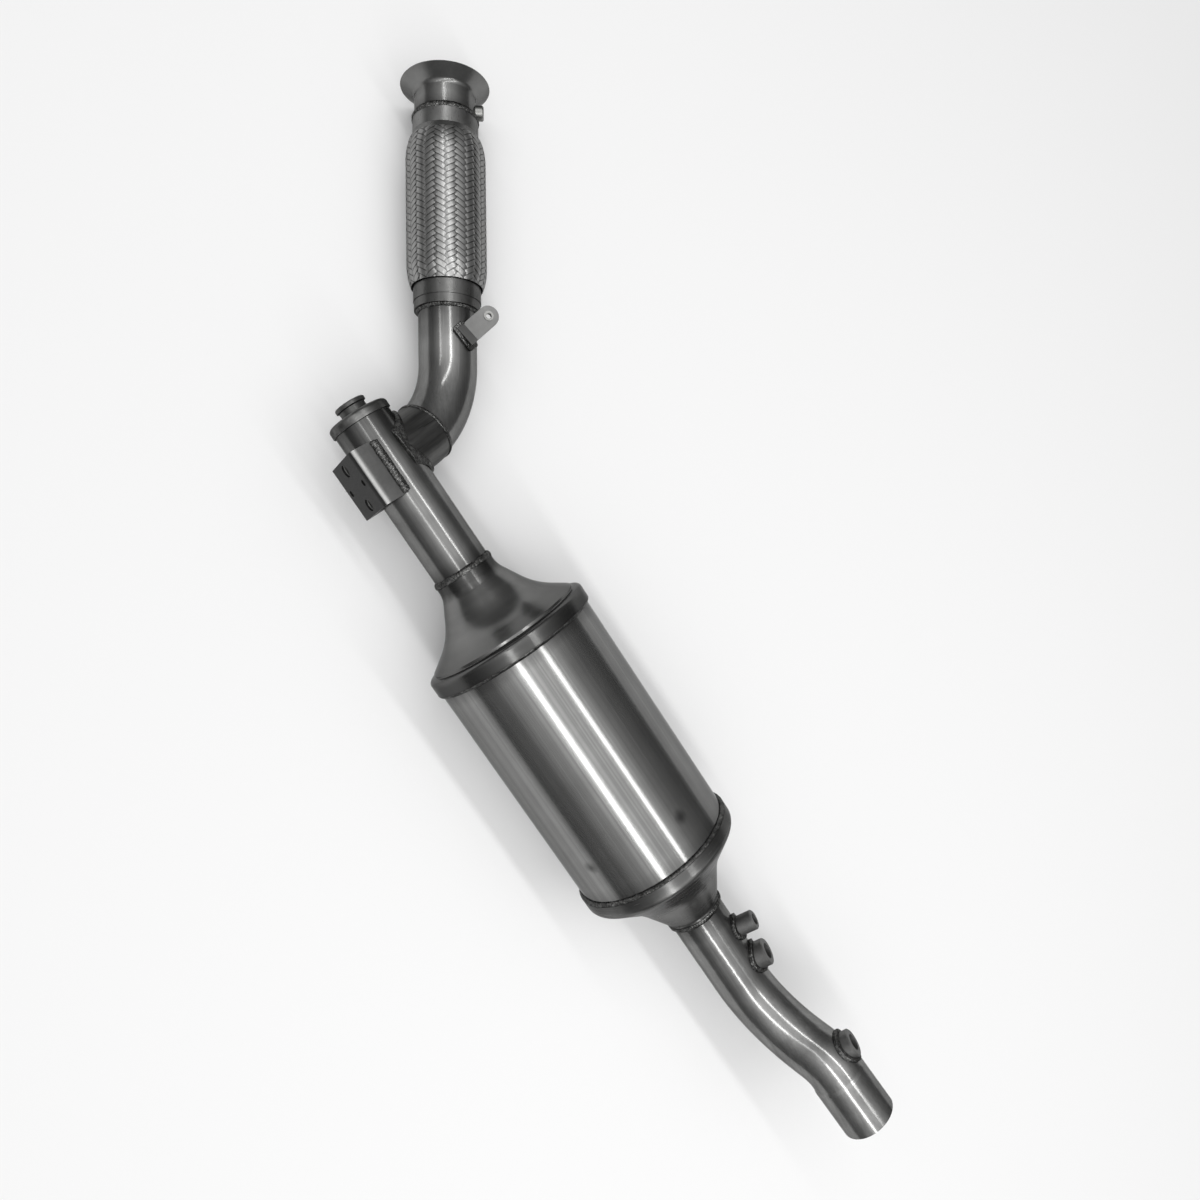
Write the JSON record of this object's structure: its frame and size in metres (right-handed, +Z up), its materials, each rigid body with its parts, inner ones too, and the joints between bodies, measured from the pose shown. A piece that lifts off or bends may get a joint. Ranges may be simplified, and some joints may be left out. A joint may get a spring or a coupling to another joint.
{
  "type": "diesel particulate filter",
  "caption": "Welded front exhaust section with a flared inlet, braided flexible coupler, side-fed mixer tube, round filter canister and offset outlet pipe with sensor bosses",
  "frame": {"origin": "the centre of the injector port's mouth, on the axis of the mixer tube and canister", "axes": "X along the canister's axis, the way the gas flows; Y level, towards the inlet leg; Z up, with the part lying on both canister rims and the flange's edge"},
  "size_m": [1.1786, 0.4088, 0.1821],
  "materials": {
    "tube_steel": "satin stainless tube",
    "shell_steel": "rolled and polished stainless sheet",
    "pressed_steel": "heat-tinted stainless pressing",
    "weld_metal": "dark weld metal",
    "braid_wire": "bright flat-wire braid",
    "machined_steel": "turned steel",
    "plated_steel": "matt zinc plated",
    "ceramic": "porous ceramic",
    "mat_fibre": "ceramic fibre mat"
  },
  "bodies": {
    "root": {"inlet_flange": "tube_steel", "locating_stud": "plated_steel", "neck_weld": "weld_metal", "upper_flex_cuff": "pressed_steel", "flex_braid": "braid_wire", "flex_bellows": "tube_steel", "flex_liner": "tube_steel", "flex_ferrule": "pressed_steel", "lower_flex_cuff": "pressed_steel", "downpipe_weld": "weld_metal", "downpipe": "tube_steel", "hanger_tab": "plated_steel", "hanger_bush": "plated_steel", "tab_weld": "weld_metal", "stub_seam_weld": "weld_metal", "inlet_stub": "pressed_steel", "saddle_weld": "weld_metal", "injector_port": "machined_steel", "mixer_cap": "pressed_steel", "mixer_tube": "tube_steel", "swirl_mixer": "tube_steel", "mixer_bracket": "tube_steel", "bracket_nuts": "plated_steel", "bracket_welds": "weld_metal", "inlet_neck_weld": "weld_metal", "inlet_cone": "pressed_steel", "inlet_rim_weld": "weld_metal", "canister_shell": "shell_steel", "filter_monolith": "ceramic", "support_mat": "mat_fibre", "mesh_seal_rings": "braid_wire", "outlet_rim_weld": "weld_metal", "outlet_cone": "pressed_steel", "outlet_neck_weld": "weld_metal", "outlet_pipe": "tube_steel", "pressure_nipple": "machined_steel", "nipple_weld": "weld_metal", "front_sensor_boss": "machined_steel", "front_boss_weld": "weld_metal", "rear_sensor_boss": "machined_steel", "rear_boss_weld": "weld_metal"}
  },
  "joints": []
}
